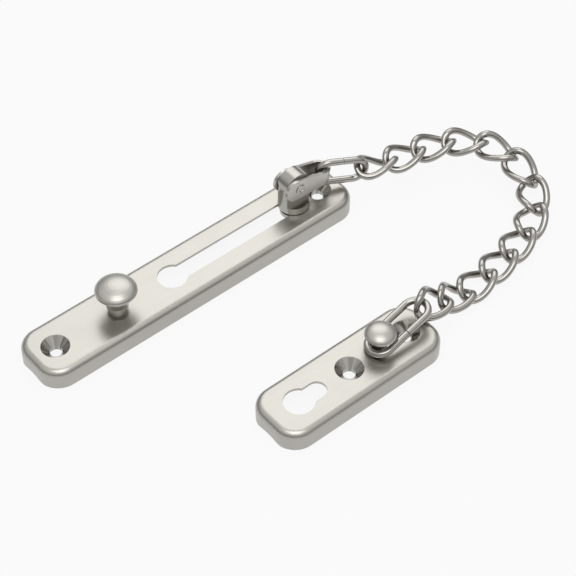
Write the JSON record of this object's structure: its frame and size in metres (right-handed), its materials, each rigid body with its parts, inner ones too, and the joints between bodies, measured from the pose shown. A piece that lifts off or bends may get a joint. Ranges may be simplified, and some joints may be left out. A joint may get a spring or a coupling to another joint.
{
  "type": "door chain guard",
  "caption": "Door chain guard: slotted steel door plate with a swivelling slider, twisted-link chain and a short frame plate with a mushroom stud.",
  "frame": {"origin": "midway between the door plate's two screw holes, on its mounting face", "axes": "+X along the door plate towards the end where the slider rests, +Z out of the door, away from the mounting face"},
  "size_m": [0.2134, 0.1025, 0.026],
  "materials": {
    "plate": "brushed along the plate",
    "knob": "satin polish",
    "slider": "satin",
    "strap": "satin",
    "long_link": "polished",
    "chain": "polished"
  },
  "bodies": {
    "door_plate": {"door_plate": "plate", "parking_knob": "knob"},
    "slider_bush": {"slider_bush": "slider"},
    "slider_stud": {"slider_stud": "slider"},
    "shackle": {"shackle": "strap", "shackle_rivet": "slider"},
    "lead_link": {"lead_link": "long_link"},
    "chain_link_01": {"chain_link_01": "chain"},
    "chain_link_02": {"chain_link_02": "chain"},
    "chain_link_03": {"chain_link_03": "chain"},
    "chain_link_04": {"chain_link_04": "chain"},
    "chain_link_05": {"chain_link_05": "chain"},
    "chain_link_06": {"chain_link_06": "chain"},
    "chain_link_07": {"chain_link_07": "chain"},
    "chain_link_08": {"chain_link_08": "chain"},
    "chain_link_09": {"chain_link_09": "chain"},
    "chain_link_10": {"chain_link_10": "chain"},
    "chain_link_11": {"chain_link_11": "chain"},
    "chain_link_12": {"chain_link_12": "chain"},
    "chain_link_13": {"chain_link_13": "chain"},
    "end_link": {"end_link": "long_link"},
    "frame_plate": {"frame_plate": "plate", "frame_stud": "knob"}
  },
  "joints": [
    {"name": "slider_slide", "type": "slide", "parent": "door_plate", "child": "slider_bush", "axis": [-1, 0, 0], "range_m": [0, 0.0595]},
    {"name": "stud_swivel", "type": "hinge", "parent": "slider_bush", "child": "slider_stud", "pos_m": [0.0505, 0, 0.0083], "axis": [0, 0, 1], "range_deg": [-30, 120]},
    {"name": "shackle_tilt", "type": "hinge", "parent": "slider_stud", "child": "shackle", "pos_m": [0.0505, 0, 0.0197], "axis": [0, -1, 0], "range_deg": [-2, 100]},
    {"name": "lead_link_swing", "type": "hinge", "parent": "shackle", "child": "lead_link", "pos_m": [0.06256, 0, 0.01757], "axis": [0.1736, 0, 0.9848], "range_deg": [-20, 60]},
    {"name": "chain_hinge_01", "type": "hinge", "parent": "lead_link", "child": "chain_link_01", "pos_m": [0.07916, -0.00739, 0.01534], "axis": [0, 0, 1], "range_deg": [-20, 16]},
    {"name": "chain_hinge_02", "type": "hinge", "parent": "chain_link_01", "child": "chain_link_02", "pos_m": [0.09212, -0.00991, 0.01306], "axis": [0, 0, -1], "range_deg": [-24, 20]},
    {"name": "chain_hinge_03", "type": "hinge", "parent": "chain_link_02", "child": "chain_link_03", "pos_m": [0.10539, -0.01154, 0.0122], "axis": [0, 0, 1], "range_deg": [-15, 30]},
    {"name": "chain_hinge_04", "type": "hinge", "parent": "chain_link_03", "child": "chain_link_04", "pos_m": [0.11806, -0.0159, 0.0122], "axis": [0, 0, -1], "range_deg": [-40, 12]},
    {"name": "chain_hinge_05", "type": "hinge", "parent": "chain_link_04", "child": "chain_link_05", "pos_m": [0.12861, -0.02414, 0.01151], "axis": [0, 0, 1], "range_deg": [-5, 50]},
    {"name": "chain_hinge_06", "type": "hinge", "parent": "chain_link_05", "child": "chain_link_06", "pos_m": [0.13397, -0.03619, 0.00919], "axis": [0, 0, -1], "range_deg": [-50, 3]},
    {"name": "chain_hinge_07", "type": "hinge", "parent": "chain_link_06", "child": "chain_link_07", "pos_m": [0.1324, -0.04905, 0.00575], "axis": [0, 0, 1], "range_deg": [-4, 50]},
    {"name": "chain_hinge_08", "type": "hinge", "parent": "chain_link_07", "child": "chain_link_08", "pos_m": [0.12457, -0.05983, 0.00429], "axis": [0, 0, -1], "range_deg": [-45, 7]},
    {"name": "chain_hinge_09", "type": "hinge", "parent": "chain_link_08", "child": "chain_link_09", "pos_m": [0.11286, -0.06632, 0.00377], "axis": [0, 0, 1], "range_deg": [-12, 35]},
    {"name": "chain_hinge_10", "type": "hinge", "parent": "chain_link_09", "child": "chain_link_10", "pos_m": [0.09998, -0.07001, 0.0036], "axis": [0, 0, -1], "range_deg": [-30, 15]},
    {"name": "chain_hinge_11", "type": "hinge", "parent": "chain_link_10", "child": "chain_link_11", "pos_m": [0.08678, -0.07234, 0.0036], "axis": [0, 0, 1], "range_deg": [-20, 30]},
    {"name": "chain_hinge_12", "type": "hinge", "parent": "chain_link_11", "child": "chain_link_12", "pos_m": [0.07348, -0.07397, 0.00371], "axis": [0, 0, -1], "range_deg": [-25, 7]},
    {"name": "chain_hinge_13", "type": "hinge", "parent": "chain_link_12", "child": "chain_link_13", "pos_m": [0.06129, -0.0744, 0.00926], "axis": [0, 0, 1], "range_deg": [-10, 20]},
    {"name": "chain_hinge_14", "type": "hinge", "parent": "chain_link_13", "child": "end_link", "pos_m": [0.04905, -0.07461, 0.0147], "axis": [0, 0, -1], "range_deg": [-10, 10]},
    {"name": "frame_stud_swivel", "type": "hinge", "parent": "end_link", "child": "frame_plate", "pos_m": [0.02781, -0.07647, 0.0109], "axis": [0, 0, 1], "range_deg": [-8, 12]}
  ]
}
